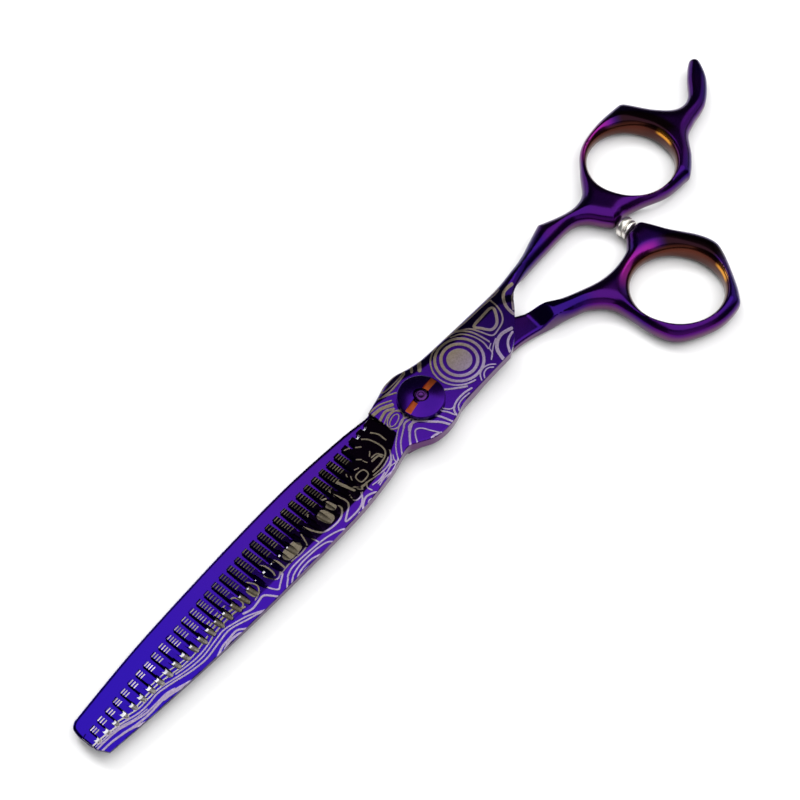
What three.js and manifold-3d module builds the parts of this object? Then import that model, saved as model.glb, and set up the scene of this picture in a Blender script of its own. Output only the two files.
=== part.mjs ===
// Thinning (texturising) shears: a comb blade and a plain blade that turn on one pivot bolt.
//
// Millimetres, +Z up, lying closed on a table. The origin is on the pivot axis, on the underside of
// the bolt's head. +X runs from the blade tips to the finger rings, and +Y to the finger-ring side.
import * as THREE from 'three';
import { mergeVertices } from 'three/addons/utils/BufferGeometryUtils.js';
import Module from 'manifold-3d';

const wasm = await Module();
wasm.setup();

// ---------------------------------------------------------------------------------------------
// Driving dimensions
// ---------------------------------------------------------------------------------------------
const TIP_X = -105.2; // tips of both blades
const HANDLE_BOTTOM = 0; // the rings lie on the table
const HANDLE_TOP = 6.4;
const EDGE_CHAMFER = 0.5; // along the outside of the rings and shanks
const HOLE_FLARE = 1.1; // how much wider a finger hole is at its faces than at its waist

const PLAIN_BOTTOM = 1.1; // plain blade, at the pivot
const PLAIN_TOP = 3.5;
const COMB_BOTTOM = 3.7; // comb blade, at the pivot
const COMB_TOP = 6.7;
const PLAIN_TIP_THICKNESS = 1.5; // each blade at its tip
const COMB_TIP_THICKNESS = 1.0;
const BLADE_START_X = -10.1; // front end of the flat pivot area

const TOOTH_COUNT = 36; // full teeth, besides the nib that ends the comb
const TOOTH_PITCH = 2.515;
const TOOTH_WIDTH = 1.15;
const FIRST_TOOTH_X = -102.2;

// Each finger hole is slightly oval: long and short radius at its waist, and the long axis's angle.
const HOLE_LEAN = THREE.MathUtils.degToRad(-50);
const FINGER_HOLE = { x: 81.8, y: 4.2, long: 10.3, short: 9.9 };
const THUMB_HOLE = { x: 60.9, y: -25.0, long: 10.8, short: 10.0 };

const CLEARANCE = 0.25; // around the bolt, the bush and the washers
const BOLT_HEAD_RADIUS = 4.8;
const BOLT_HEAD_HEIGHT = 0.9;
const BOLT_NECK_RADIUS = 2.8;
const BOLT_NECK_ACROSS_FLATS = 4.4;
const BOLT_JOURNAL_RADIUS = 2.45;
const BOLT_THREAD_RADIUS = 1.8;
const BOLT_END_RADIUS = 1.3;
const BUSH_OUTER_RADIUS = 3.3;
const WASHER_OUTER_RADIUS = 4.6;

const DIAL_RADIUS = 5.4;
const DIAL_BOTTOM = 6.95;
const DIAL_TOP = 8.9;
const DIAL_SLOT_ANGLE = THREE.MathUtils.degToRad(5.5);

const BUMPER_X = 67.0;
const BUMPER_SEAT_Y = -7.2; // base of the bumper, just clear of the boss on the thumb ring
const BUMPER_LENGTH = 3.3;
const BUMPER_RADIUS = 2.5;
const BUMPER_Z = (HANDLE_BOTTOM + HANDLE_TOP) / 2;
const STUD_RADIUS = 0.75;

const ROUND = 40; // sides of a turned part
const FAR = 30; // how far a cutter reaches past what it cuts

// ---------------------------------------------------------------------------------------------
// Solids
// ---------------------------------------------------------------------------------------------
function solid(geometry) {
  const bare = geometry.index ? geometry.toNonIndexed() : geometry.clone();
  bare.deleteAttribute('normal');
  bare.deleteAttribute('uv');
  const merged = mergeVertices(bare, 1e-4);
  return new wasm.Manifold(
    new wasm.Mesh({
      numProp: 3,
      vertProperties: new Float32Array(merged.attributes.position.array),
      triVerts: new Uint32Array(merged.index.array),
    }),
  );
}

function geometryOf(body) {
  const mesh = body.getMesh();
  const geometry = new THREE.BufferGeometry();
  geometry.setAttribute('position', new THREE.BufferAttribute(mesh.vertProperties, 3));
  geometry.setIndex(new THREE.BufferAttribute(mesh.triVerts, 1));
  geometry.computeVertexNormals();
  return geometry;
}

function plate(shape, bottom, top, chamfer = 0) {
  const geometry = new THREE.ExtrudeGeometry(shape, {
    depth: top - bottom - 2 * chamfer,
    curveSegments: 3,
    bevelEnabled: chamfer > 0,
    bevelThickness: chamfer,
    bevelSize: chamfer,
    bevelOffset: -chamfer,
    bevelSegments: 1,
  });
  geometry.translate(0, 0, bottom + chamfer);
  return solid(geometry);
}

const IN_PLACE = new THREE.Matrix4();

function aboutZ(angle) {
  return new THREE.Matrix4().makeRotationZ(angle);
}

function box(minX, maxX, minY, maxY, minZ, maxZ, placement = IN_PLACE) {
  const geometry = new THREE.BoxGeometry(maxX - minX, maxY - minY, maxZ - minZ);
  geometry.translate((minX + maxX) / 2, (minY + maxY) / 2, (minZ + maxZ) / 2);
  return solid(geometry.applyMatrix4(placement));
}

// A solid of revolution about the Z axis, from [radius, z] corners that start and end on the axis.
function turned(corners, placement = IN_PLACE) {
  const geometry = new THREE.LatheGeometry(
    corners.map(([radius, z]) => new THREE.Vector2(radius, z)),
    ROUND,
  );
  geometry.rotateX(Math.PI / 2);
  return solid(geometry.applyMatrix4(placement));
}

function disc(radius, bottom, top, placement = IN_PLACE) {
  return turned(
    [
      [0, bottom],
      [radius, bottom],
      [radius, top],
      [0, top],
    ],
    placement,
  );
}

function ring(outer, inner, bottom, top) {
  return disc(outer, bottom, top).subtract(disc(inner, bottom - FAR, top + FAR));
}

// A round bar with two flats, which keys the bolt in the plain blade.
function doubleFlat(radius, acrossFlats, bottom, top) {
  const half = acrossFlats / 2;
  return disc(radius, bottom, top).intersect(box(-FAR, FAR, -half, half, bottom, top));
}

// An outline made of smooth runs: each run is a spline through its points, and runs meet at corners.
function outline(...runs) {
  const shape = new THREE.Shape();
  shape.moveTo(...runs[0][0]);
  runs.forEach((run, index) => {
    const points = run.slice(index === 0 ? 1 : 0).map(([x, y]) => new THREE.Vector2(x, y));
    if (run.length > 1) shape.splineThru(points);
    else if (index > 0) shape.lineTo(...run[0]);
  });
  return shape;
}

// ---------------------------------------------------------------------------------------------
// Handles: ring, shank and, on the comb blade, the finger rest
// ---------------------------------------------------------------------------------------------

// A finger hole's cutter, waisted at half height so that the ring's inner wall is crowned.
function fingerHole({ x, y, long, short }) {
  const middle = (HANDLE_BOTTOM + HANDLE_TOP) / 2;
  const flat = 1.2;
  const placement = new THREE.Matrix4()
    .makeTranslation(x, y, 0)
    .multiply(aboutZ(HOLE_LEAN))
    .scale(new THREE.Vector3(1, short / long, 1));
  return turned(
    [
      [0, HANDLE_BOTTOM - 1],
      [long + HOLE_FLARE, HANDLE_BOTTOM - 1],
      [long + HOLE_FLARE, HANDLE_BOTTOM],
      [long, middle - flat],
      [long, middle + flat],
      [long + HOLE_FLARE, HANDLE_TOP],
      [long + HOLE_FLARE, HANDLE_TOP + 1],
      [0, HANDLE_TOP + 1],
    ],
    placement,
  );
}

function fingerHandle() {
  const shape = outline(
    [[41, 3.4], [50.7, 4.05], [58.7, 3.85], [62.1, 2.1], [64.1, -1.2], [65.6, -3.3], [67.7, -3.6],
      [70.0, -3.6], [74.5, -5.1], [80.5, -7.75], [86.4, -8.5], [88.6, -8.3], [92.6, -5.5], [96.8, -1.5], [100.8, -0.2],
      [107.0, 1.2], [113.0, 5.2], [116.3, 9.4], [116.5, 11.3], [115.0, 12.3], [110.4, 9.3], [105.2, 5.4],
      [100.85, 5.5], [97.3, 9.3], [94.5, 14.6], [93.4, 16.1], [91.6, 16.7], [84.4, 17.05], [77.5, 15.65],
      [72.5, 12.0], [67.4, 7.5], [63.3, 6.55], [59.1, 7.5], [53.7, 9.85]],
    [[49, 8.6], [44.2, 7.3], [41, 6.5]],
  );
  return plate(shape, HANDLE_BOTTOM, HANDLE_TOP, EDGE_CHAMFER).subtract(fingerHole(FINGER_HOLE));
}

function thumbHandle() {
  const shape = outline(
    [[36, -9.2], [40.8, -11.2], [44.3, -12.9], [47.45, -16.55], [48.15, -21.4], [48.45, -28.35],
      [50.9, -33.75], [58.8, -38.15], [65.6, -38.9]],
    [[68.5, -36.9], [72, -32.55], [75.45, -27.3], [76.45, -24.1], [75.45, -19.8], [72.5, -14], [70.7, -9.6],
      [69.7, -7.7]],
    [[69.0, -7.4]],
    [[65.0, -7.4]],
    [[63.1, -8.9], [60.8, -10.2], [55.7, -10.85], [50.8, -10.25], [45.8, -8.4], [40.8, -6.1], [36, -3.7]],
  );
  return plate(shape, HANDLE_BOTTOM, HANDLE_TOP, EDGE_CHAMFER).subtract(fingerHole(THUMB_HOLE));
}

// ---------------------------------------------------------------------------------------------
// Blades
// ---------------------------------------------------------------------------------------------

// The line of the tooth tips rises from the nib at the end and is level from the middle on.
function toothTipY(x) {
  const level = 6.5;
  const rise = 3.6;
  const along = THREE.MathUtils.clamp((x + 45.3) / (TIP_X + 45.3), 0, 1);
  return level - rise * along ** 1.6;
}

// The slots' roots fall a little towards the middle, and climb near the pivot, where the slots get short.
function toothRootY(x) {
  const along = THREE.MathUtils.clamp((x - TIP_X) / (-57 - TIP_X), 0, 1);
  return 0.35 - 1.05 * along + 6.2 * THREE.MathUtils.smoothstep(x, -24.5, -14.5);
}

function combOutline() {
  const tips = [-80, -60, -45, -14].map((x) => [x, toothTipY(x)]);
  return outline(
    [[TIP_X, toothTipY(TIP_X)]],
    [[TIP_X, -1.2]],
    [[-103.8, -3.8]],
    [[-89.4, -5.3], [-69.4, -6.75], [-48.5, -7.55], [-30.4, -7.8], [-18.4, -6.85], [-11.3, -5.5],
      [-8.3, -6.75], [-5.3, -8.45], [-1.8, -9.05], [1.7, -8.75], [5.7, -7.75], [11.7, -7.6], [22.2, -7.6]],
    [[25.6, -5.9], [31, -1.6], [35.9, 2.3], [42.5, 3.65], [46, 3.9]],
    [[46, 8.0]],
    [[42.5, 6.7], [35.4, 6.0], [25.4, 6.15], [10.4, 6.55], [5.4, 7.25], [1.4, 8.55], [-0.6, 8.75],
      [-2.6, 8.65], [-5, 8.0], [-8.6, 6.95], [BLADE_START_X, 6.6]],
    ...tips.reverse().map((tip) => [tip]),
  );
}

// The outer face falls from the pivot to the tip; seen from the side it is one long taper.
function taper(bottomAtTip, bottomAtPivot, topAtTip, topAtPivot) {
  const side = outline(
    [[TIP_X - 1, bottomAtTip]],
    [[BLADE_START_X, bottomAtPivot]],
    [[FAR * 2, bottomAtPivot]],
    [[FAR * 2, topAtPivot]],
    [[BLADE_START_X, topAtPivot]],
    [[TIP_X - 1, topAtTip]],
  );
  const geometry = new THREE.ExtrudeGeometry(side, { depth: 2 * FAR, bevelEnabled: false });
  geometry.rotateX(Math.PI / 2);
  geometry.translate(0, FAR, 0);
  return solid(geometry);
}

// The hollow that thins the comb towards its tooth tips, as a cutter along X.
function combHollow() {
  const section = outline(
    [[-4.2, COMB_TOP + 1]],
    [[-4.2, COMB_TOP]],
    [[-3.4, COMB_TOP - 1.1]],
    [[-0.6, COMB_TOP - 1.9]],
    [[FAR, COMB_TOP - 4.6]],
    [[FAR, COMB_TOP + 1]],
  );
  const length = BLADE_START_X - TIP_X + 2;
  const geometry = new THREE.ExtrudeGeometry(section, { depth: length, bevelEnabled: false });
  geometry.rotateX(Math.PI / 2);
  geometry.rotateZ(Math.PI / 2);
  geometry.translate(TIP_X - 2, 0, 0);
  return solid(geometry);
}

function combSlot(index) {
  const start = FIRST_TOOTH_X + index * TOOTH_PITCH + TOOTH_WIDTH / 2;
  const end = start + TOOTH_PITCH - TOOTH_WIDTH;
  return box(start, end, toothRootY(start), FAR, COMB_BOTTOM - 1, COMB_TOP + 1);
}

function combBlade() {
  let body = plate(combOutline(), COMB_BOTTOM, COMB_TOP);
  body = body.intersect(taper(COMB_BOTTOM - 1, COMB_BOTTOM - 1, COMB_BOTTOM + COMB_TIP_THICKNESS, COMB_TOP));
  body = body.subtract(combHollow());
  for (let index = -1; index < TOOTH_COUNT; index += 1) body = body.subtract(combSlot(index));
  body = body.add(fingerHandle());
  return body.subtract(disc(BUSH_OUTER_RADIUS + CLEARANCE, COMB_BOTTOM - 1, COMB_TOP + 1));
}

function plainOutline() {
  return outline(
    [[TIP_X, -0.6]],
    [[-80, -1.6], [-45, -2.8], [-14, -4.2], [-8.3, -5.6], [-2, -7.9], [4, -7.2], [12, -6.9], [24, -6.2],
      [32.8, -7.9], [40, -10.6]],
    [[40, -5.8]],
    [[32.8, -1.95], [27, 2.2], [19, 5.2], [8, 6.0], [2, 8.2], [-3, 8.2], [-10.2, 7.4], [-18.2, 8.45],
      [-33.2, 9.5], [-48.2, 9.65], [-65.3, 9.3], [-84.3, 8.55], [-103.3, 6.9]],
    [[-104.6, 6.0], [-105.1, 4.2], [TIP_X, 3]],
  );
}

function plainBlade() {
  let body = plate(plainOutline(), PLAIN_BOTTOM - 0.6, PLAIN_TOP);
  body = body.intersect(taper(PLAIN_TOP - PLAIN_TIP_THICKNESS, PLAIN_BOTTOM, PLAIN_TOP + 1, PLAIN_TOP + 1));
  body = body.add(thumbHandle());
  const keyHole = doubleFlat(
    BOLT_NECK_RADIUS + CLEARANCE,
    BOLT_NECK_ACROSS_FLATS + 2 * CLEARANCE,
    PLAIN_BOTTOM - 1,
    PLAIN_TOP + 1,
  );
  const washerSeat = disc(WASHER_OUTER_RADIUS + CLEARANCE, PLAIN_TOP - 0.6, PLAIN_TOP + 1);
  const studHole = disc(STUD_RADIUS + CLEARANCE, -3.2, 1, ABOUT_BUMPER);
  return body.subtract(keyHole).subtract(washerSeat).subtract(studHole);
}

// ---------------------------------------------------------------------------------------------
// Pivot
// ---------------------------------------------------------------------------------------------
function pivotBolt() {
  const headEdge = 0.3;
  const head = turned([
    [0, 0],
    [BOLT_HEAD_RADIUS - headEdge, 0],
    [BOLT_HEAD_RADIUS, headEdge],
    [BOLT_HEAD_RADIUS, BOLT_HEAD_HEIGHT],
    [0, BOLT_HEAD_HEIGHT],
  ]);
  const neck = doubleFlat(BOLT_NECK_RADIUS, BOLT_NECK_ACROSS_FLATS, 0.5, PLAIN_TOP);
  const journal = disc(BOLT_JOURNAL_RADIUS - 0.25, 1, COMB_TOP);
  const thread = disc(BOLT_THREAD_RADIUS, 1, DIAL_TOP - 0.7);
  const end = disc(BOLT_END_RADIUS, 1, DIAL_TOP - 0.15);
  return head.add(neck).add(journal).add(thread).add(end);
}

function thrustWasher() {
  return ring(WASHER_OUTER_RADIUS, BOLT_NECK_RADIUS + CLEARANCE, PLAIN_TOP - 0.4, PLAIN_TOP);
}

function pivotBush() {
  return ring(BUSH_OUTER_RADIUS, BOLT_JOURNAL_RADIUS, COMB_BOTTOM + 0.2, COMB_TOP - 0.2);
}

const SPRING_RADIUS = 4.0; // the spring and its washer sit inside the dial's underside

function dialWasher() {
  return ring(SPRING_RADIUS, BOLT_THREAD_RADIUS + CLEARANCE, COMB_TOP + 0.15, COMB_TOP + 0.45);
}

// A thin spring disc with three petals, which clicks as the dial is turned.
function clickSpring() {
  const bottom = COMB_TOP + 0.65;
  const top = COMB_TOP + 0.9;
  let body = ring(SPRING_RADIUS, BOLT_THREAD_RADIUS + CLEARANCE, bottom, top);
  for (let petal = 0; petal < 3; petal += 1) {
    const placement = aboutZ((petal * 2 * Math.PI) / 3 + Math.PI / 6);
    body = body.subtract(box(2.6, FAR, -0.3, 0.3, bottom - 1, top + 1, placement));
  }
  return body;
}

function tensionDial() {
  const edge = 0.5;
  const crown = 0.25;
  const blank = turned([
    [0, DIAL_BOTTOM],
    [DIAL_RADIUS - 0.2, DIAL_BOTTOM],
    [DIAL_RADIUS, DIAL_BOTTOM + 0.2],
    [DIAL_RADIUS, DIAL_TOP - crown - edge],
    [DIAL_RADIUS - edge, DIAL_TOP - crown],
    [DIAL_RADIUS / 2, DIAL_TOP - crown / 3],
    [0, DIAL_TOP],
  ]);
  const recess = disc(SPRING_RADIUS + CLEARANCE, DIAL_BOTTOM - 1, COMB_TOP + 1.1);
  const bore = disc(BOLT_THREAD_RADIUS + CLEARANCE, DIAL_BOTTOM - 1, DIAL_TOP + 1);
  const slot = box(-FAR, FAR, -0.7, 0.7, DIAL_TOP - 0.8, DIAL_TOP + 1, aboutZ(DIAL_SLOT_ANGLE));
  return blank.subtract(recess).subtract(bore).subtract(slot);
}

// ---------------------------------------------------------------------------------------------
// Bumper between the rings
// ---------------------------------------------------------------------------------------------

// Turns a shape made about the Z axis so that it points along +Y from the bumper's seat.
const ABOUT_BUMPER = new THREE.Matrix4()
  .makeTranslation(BUMPER_X, BUMPER_SEAT_Y, BUMPER_Z)
  .multiply(new THREE.Matrix4().makeRotationX(-Math.PI / 2));

// A narrow bead at the seat and a wide domed one at the free end, with a groove between them.
function bumper() {
  const neck = BUMPER_RADIUS - 0.35;
  const corners = [
    [0, 0],
    [neck, 0],
    [BUMPER_RADIUS - 0.1, 0.3],
    [BUMPER_RADIUS - 0.1, 0.8],
    [neck, 1.1],
    [BUMPER_RADIUS, 1.45],
    [BUMPER_RADIUS, 2.3],
    [BUMPER_RADIUS - 0.4, 2.8],
    [BUMPER_RADIUS - 1.1, BUMPER_LENGTH - 0.1],
    [0, BUMPER_LENGTH],
  ];
  const studHole = disc(STUD_RADIUS + CLEARANCE, -1, BUMPER_LENGTH - 1.2, ABOUT_BUMPER);
  return turned(corners, ABOUT_BUMPER).subtract(studHole);
}

function bumperStud() {
  return disc(STUD_RADIUS, -3.0, BUMPER_LENGTH - 1.5, ABOUT_BUMPER);
}

// ---------------------------------------------------------------------------------------------
// Assembly
// ---------------------------------------------------------------------------------------------
function material(color, roughness, metalness) {
  return new THREE.MeshStandardMaterial({ color, roughness, metalness });
}

const violetCoat = material(0x2b0f78, 0.16, 1);
const etchedCoat = material(0x4a3a86, 0.28, 1);
const dialCoat = material(0x35107a, 0.2, 1);
const bareSteel = material(0xb9bcc2, 0.25, 1);
const springSteel = material(0x8e9196, 0.3, 1);
const bronze = material(0x9a6b3c, 0.35, 1);
const nylon = material(0xe6e4dc, 0.5, 0);

function node(name, body, finish) {
  const mesh = new THREE.Mesh(geometryOf(body), finish);
  mesh.name = name;
  return mesh;
}

const plainMember = new THREE.Group();
plainMember.add(node('plain_blade', plainBlade(), violetCoat));
plainMember.add(node('pivot_bolt', pivotBolt(), dialCoat));
plainMember.add(node('thrust_washer', thrustWasher(), nylon));
plainMember.add(node('dial_washer', dialWasher(), nylon));
plainMember.add(node('click_spring', clickSpring(), springSteel));
plainMember.add(node('bumper', bumper(), bareSteel));
plainMember.add(node('bumper_stud', bumperStud(), bareSteel));

const combMember = new THREE.Group();
combMember.add(node('comb_blade', combBlade(), etchedCoat));
combMember.add(node('pivot_bush', pivotBush(), bronze));

const dialGroup = new THREE.Group();
dialGroup.add(node('tension_dial', tensionDial(), dialCoat));

const shears = new THREE.Group();
shears.add(plainMember, combMember, dialGroup);

export default shears;
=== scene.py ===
import math

import bmesh
import bpy
import numpy as np
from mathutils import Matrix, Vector


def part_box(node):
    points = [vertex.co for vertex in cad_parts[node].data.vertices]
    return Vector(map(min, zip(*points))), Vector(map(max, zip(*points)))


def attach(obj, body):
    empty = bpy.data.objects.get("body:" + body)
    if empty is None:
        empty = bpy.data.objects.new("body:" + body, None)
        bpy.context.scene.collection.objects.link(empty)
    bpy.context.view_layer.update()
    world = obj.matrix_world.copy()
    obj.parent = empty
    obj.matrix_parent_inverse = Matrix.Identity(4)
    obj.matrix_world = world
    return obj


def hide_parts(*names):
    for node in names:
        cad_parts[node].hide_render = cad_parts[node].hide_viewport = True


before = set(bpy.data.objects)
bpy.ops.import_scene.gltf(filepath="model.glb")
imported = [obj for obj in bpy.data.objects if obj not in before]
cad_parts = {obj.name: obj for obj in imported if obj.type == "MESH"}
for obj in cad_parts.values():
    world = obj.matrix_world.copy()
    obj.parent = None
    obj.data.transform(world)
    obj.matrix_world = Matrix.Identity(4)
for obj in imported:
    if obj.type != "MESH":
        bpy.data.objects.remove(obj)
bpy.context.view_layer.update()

# Lengths of the shears are millimetres in the CAD's frame: +X from the blade tips towards the rings,
# +Z up. new_piece() turns them into Blender's metres. Materials and the studio use metres.
MM = 0.001


def box_mm(node):
    low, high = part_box(node)
    return np.array(low) / MM, np.array(high) / MM


# ---- Sizes, taken from the frame where the frame has them ----
COMB_LOW = box_mm("comb_blade")[0]
DIAL_LOW, DIAL_HIGH = box_mm("tension_dial")
BOLT_TOP = box_mm("pivot_bolt")[1][2]
BUMPER_LOW, BUMPER_HIGH = box_mm("bumper")

SKIN = 0.05  # the visible surface stays this far inside the CAD's box
TIP_X = COMB_LOW[0] + SKIN
COMB_TOP = 6.7  # heights of the faces of both blades, at the pivot
COMB_BOTTOM = 3.7
PLAIN_TOP = 3.5
PLAIN_BOTTOM = 1.1
HANDLE_TOP = 6.25
HANDLE_BOTTOM = 0.06
REST_TOP = 5.6  # finger rest
REST_BOTTOM = 0.9
CROWN_WIDTH = 3.2  # from the side of a handle to the top of its crown
REST_CROWN_WIDTH = 2.2
COMB_TIP_THICKNESS = 0.75
PLAIN_TIP_THICKNESS = 1.4
BLADE_START_X = -10.1  # front end of the flat pivot area

TOOTH_COUNT = 36
TOOTH_PITCH = 2.515
TOOTH_WIDTH = 1.3
FIRST_TOOTH_X = -102.2

HOLE_LEAN = math.radians(-50)
FINGER_HOLE = {"centre": (81.8, 4.2), "long": 10.3, "short": 9.9}
THUMB_HOLE = {"centre": (60.9, -25.0), "long": 10.8, "short": 10.0}

GRID_STEP = np.array([0.32, 0.3, 0.22])
SHARP_ANGLE = 32  # degrees between two faces, above which their edge looks sharp


# ---- Small mathematics ----
TINY = 1e-12  # keeps a division from failing where a length is nothing


def smoothstep(low, high, value):
    share = np.clip((value - low) / (high - low), 0, 1)
    return share * share * (3 - 2 * share)


def mix(first, second, share):
    return first + (second - first) * share


def smooth_max(first, second, softness):
    blend = np.clip(0.5 + 0.5 * (first - second) / softness, 0, 1)
    return mix(second, first, blend) + softness * blend * (1 - blend)


def smooth_min(first, second, softness):
    return -smooth_max(-first, -second, softness)


def spline(points, steps=12):
    """Points along a smooth curve through the given points."""
    points = [np.array(point, float) for point in points]
    if len(points) < 3:
        return points
    padded = [points[0], *points, points[-1]]
    curve = []
    for index in range(len(points) - 1):
        before, start, end, after = padded[index : index + 4]
        leave = (end - before) / 2
        arrive = (after - start) / 2
        for step in range(steps):
            t = step / steps
            curve.append(
                (2 * t**3 - 3 * t**2 + 1) * start
                + (t**3 - 2 * t**2 + t) * leave
                + (3 * t**2 - 2 * t**3) * end
                + (t**3 - t**2) * arrive
            )
    return [*curve, points[-1]]


def outline(*runs):
    """A closed outline: each run is a smooth curve, and neighbouring runs meet at a corner."""
    points = []
    for index, run in enumerate(runs):
        lone = len(run) == 1
        through = run if index == 0 or lone else [runs[index - 1][-1], *run]
        curve = spline(through)
        points.extend(curve if index == 0 or lone else curve[1:])
    return np.array(points)


def line_gap(dx, dy, along):
    """Distance to the nearest of several straight lines, from offsets to the start of each."""
    length2 = np.maximum((along**2).sum(1), TINY)
    share = np.clip((dx * along[:, 0] + dy * along[:, 1]) / length2, 0, 1)
    return np.sqrt(((dx - share * along[:, 0]) ** 2 + (dy - share * along[:, 1]) ** 2).min(1))


def signed_distance(x, y, closed):
    """Distance from each point to a closed outline, negative inside it."""
    along = np.roll(closed, -1, axis=0) - closed
    slope = along[:, 0] / np.where(along[:, 1] == 0, TINY, along[:, 1])
    distance = np.empty(len(x))
    batch = 20000
    for first in range(0, len(x), batch):
        some = slice(first, first + batch)
        dx = x[some, None] - closed[:, 0]
        dy = y[some, None] - closed[:, 1]
        gap = line_gap(dx, dy, along)
        crosses = (dy < 0) != (dy < along[:, 1])
        inside = (crosses & (dx < dy * slope)).sum(1) % 2 == 1
        distance[some] = np.where(inside, -gap, gap)
    return distance


def hole_place(x, y, hole):
    """Distance to the wall of a finger hole, negative inside it, and the place from its centre."""
    dx = x - hole["centre"][0]
    dy = y - hole["centre"][1]
    across = dx * math.cos(HOLE_LEAN) + dy * math.sin(HOLE_LEAN)
    up = dy * math.cos(HOLE_LEAN) - dx * math.sin(HOLE_LEAN)
    mean = math.sqrt(hole["long"] * hole["short"])
    return (np.hypot(across / hole["long"], up / hole["short"]) - 1) * mean, dx, dy


# ---- Meshes ----
def add_object(name, data):
    made = bpy.data.objects.new(name, data)
    bpy.context.scene.collection.objects.link(made)
    return made


def smooth(mesh, sharp_angle=SHARP_ANGLE):
    mesh.shade_smooth()
    mesh.set_sharp_from_angle(angle=math.radians(sharp_angle))


def new_piece(name, points, faces, material=None):
    mesh = bpy.data.meshes.new(name)
    mesh.from_pydata((np.asarray(points) * MM).tolist(), [], [tuple(face) for face in faces])
    mesh.validate()
    mesh.update()
    smooth(mesh)
    if material:
        mesh.materials.append(material)
    return add_object(name, mesh)


def edge_crossings(values):
    """For each axis: the grid edges that cross the surface, where, and whether they start inside."""
    inside = values < 0
    crossings = []
    for axis in range(3):
        start = tuple(slice(0, n - 1) if k == axis else slice(0, n) for k, n in enumerate(values.shape))
        end = tuple(slice(1, n) if k == axis else slice(0, n) for k, n in enumerate(values.shape))
        at = np.argwhere(inside[start] != inside[end])
        before = values[start][tuple(at.T)]
        after = values[end][tuple(at.T)]
        where = at.astype(float)
        where[:, axis] += before / (before - after)
        crossings.append((axis, at, where, before < 0))
    return crossings


def onto_surface(field, spots):
    """Moves points that are near the surface onto it, and gives the way it faces there."""
    x, y, z = spots.T
    nudge = 0.01
    plan = field.plan(x, y)
    value = field.solid(x, y, z, plan)
    nudged = [
        field.solid(x + nudge, y, z, field.plan(x + nudge, y)),
        field.solid(x, y + nudge, z, field.plan(x, y + nudge)),
        field.solid(x, y, z + nudge, plan),
    ]
    facing = np.stack([there - value for there in nudged], 1)
    size = np.maximum(np.linalg.norm(facing, axis=1), 1e-9)
    facing /= size[:, None]
    return spots - facing * (value * nudge / size)[:, None], facing


def cells_around(axis, at):
    """The four grid cells that share each edge, in order around it."""
    ring = []
    for back_side, back_up in ((1, 1), (0, 1), (0, 0), (1, 0)):
        cell = at.copy()
        cell[:, (axis + 1) % 3] -= back_side
        cell[:, (axis + 2) % 3] -= back_up
        ring.append(cell)
    return ring


def crease_points(crossings, spots, facing, cells, step, origin):
    """One point in each crossed cell: the nearest to all the planes that cross the cell's edges."""
    cell_ids = []
    edge_ids = []
    first = 0
    for axis, at, _, _ in crossings:
        rows = np.arange(first, first + len(at))
        first += len(at)
        for cell in cells_around(axis, at):
            fits = ((cell >= 0) & (cell < cells)).all(1)
            cell_ids.append(np.ravel_multi_index(cell[fits].T, cells))
            edge_ids.append(rows[fits])
    edge_ids = np.concatenate(edge_ids)
    used, index = np.unique(np.concatenate(cell_ids), return_inverse=True)
    count = np.bincount(index)
    middle = np.stack([np.bincount(index, spots[edge_ids, k]) / count for k in range(3)], 1)
    normals = facing[edge_ids]
    offset = (normals * (spots[edge_ids] - middle[index])).sum(1)
    matrix = np.empty((len(used), 3, 3))
    vector = np.empty((len(used), 3))
    for i in range(3):
        vector[:, i] = np.bincount(index, normals[:, i] * offset)
        for j in range(3):
            matrix[:, i, j] = np.bincount(index, normals[:, i] * normals[:, j])
    pull = 0.08  # towards the middle, for a cell whose planes don't fix a point
    move = np.linalg.solve(matrix + pull * np.eye(3), vector[:, :, None])[:, :, 0]
    corner = np.stack(np.unravel_index(used, cells), 1) * step + origin
    slack = 0.1 * step
    return used, np.clip(middle + move, corner - slack, corner + step + slack)


def contour_surface(field, step):
    """A quad mesh of the surface where the field is zero, with a point on every crease.

    The field has plan(), which works on x and y alone, solid(), and the low and high of its box."""
    axes = [np.arange(field.low[k] - 1.5 * step[k], field.high[k] + 2 * step[k], step[k]) for k in range(3)]
    origin = np.array([axis[0] for axis in axes])
    shape = tuple(len(axis) for axis in axes)
    flat_x, flat_y = [part.ravel() for part in np.meshgrid(axes[0], axes[1], indexing="ij")]
    plan = field.plan(flat_x, flat_y)
    layers = [field.solid(flat_x, flat_y, np.full(flat_x.size, z), plan) for z in axes[2]]
    crossings = edge_crossings(np.stack(layers, -1).reshape(shape))
    spots = np.concatenate([where for _, _, where, _ in crossings]) * step + origin
    spots, facing = onto_surface(field, spots)
    cells = np.array(shape) - 1
    used, points = crease_points(crossings, spots, facing, cells, step, origin)

    number = np.full(int(np.prod(cells)), -1)
    number[used] = np.arange(len(used))
    faces = []
    for axis, at, _, starts_inside in crossings:
        ring = [np.ravel_multi_index(cell.T, cells, mode="clip") for cell in cells_around(axis, at)]
        quads = number[np.stack(ring, 1)]
        faces.append(np.where(starts_inside[:, None], quads, quads[:, ::-1]))
    return points, np.concatenate(faces)


def rounded_edge(plan, height, radius, stretch):
    """Joins a side wall and a face with an edge rounded by radius, stretched along the height."""
    tall = height / stretch
    corner = np.hypot(np.maximum(plan + radius, 0), np.maximum(tall + radius, 0))
    return np.minimum(np.maximum(plan, tall), -radius) + corner


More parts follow.
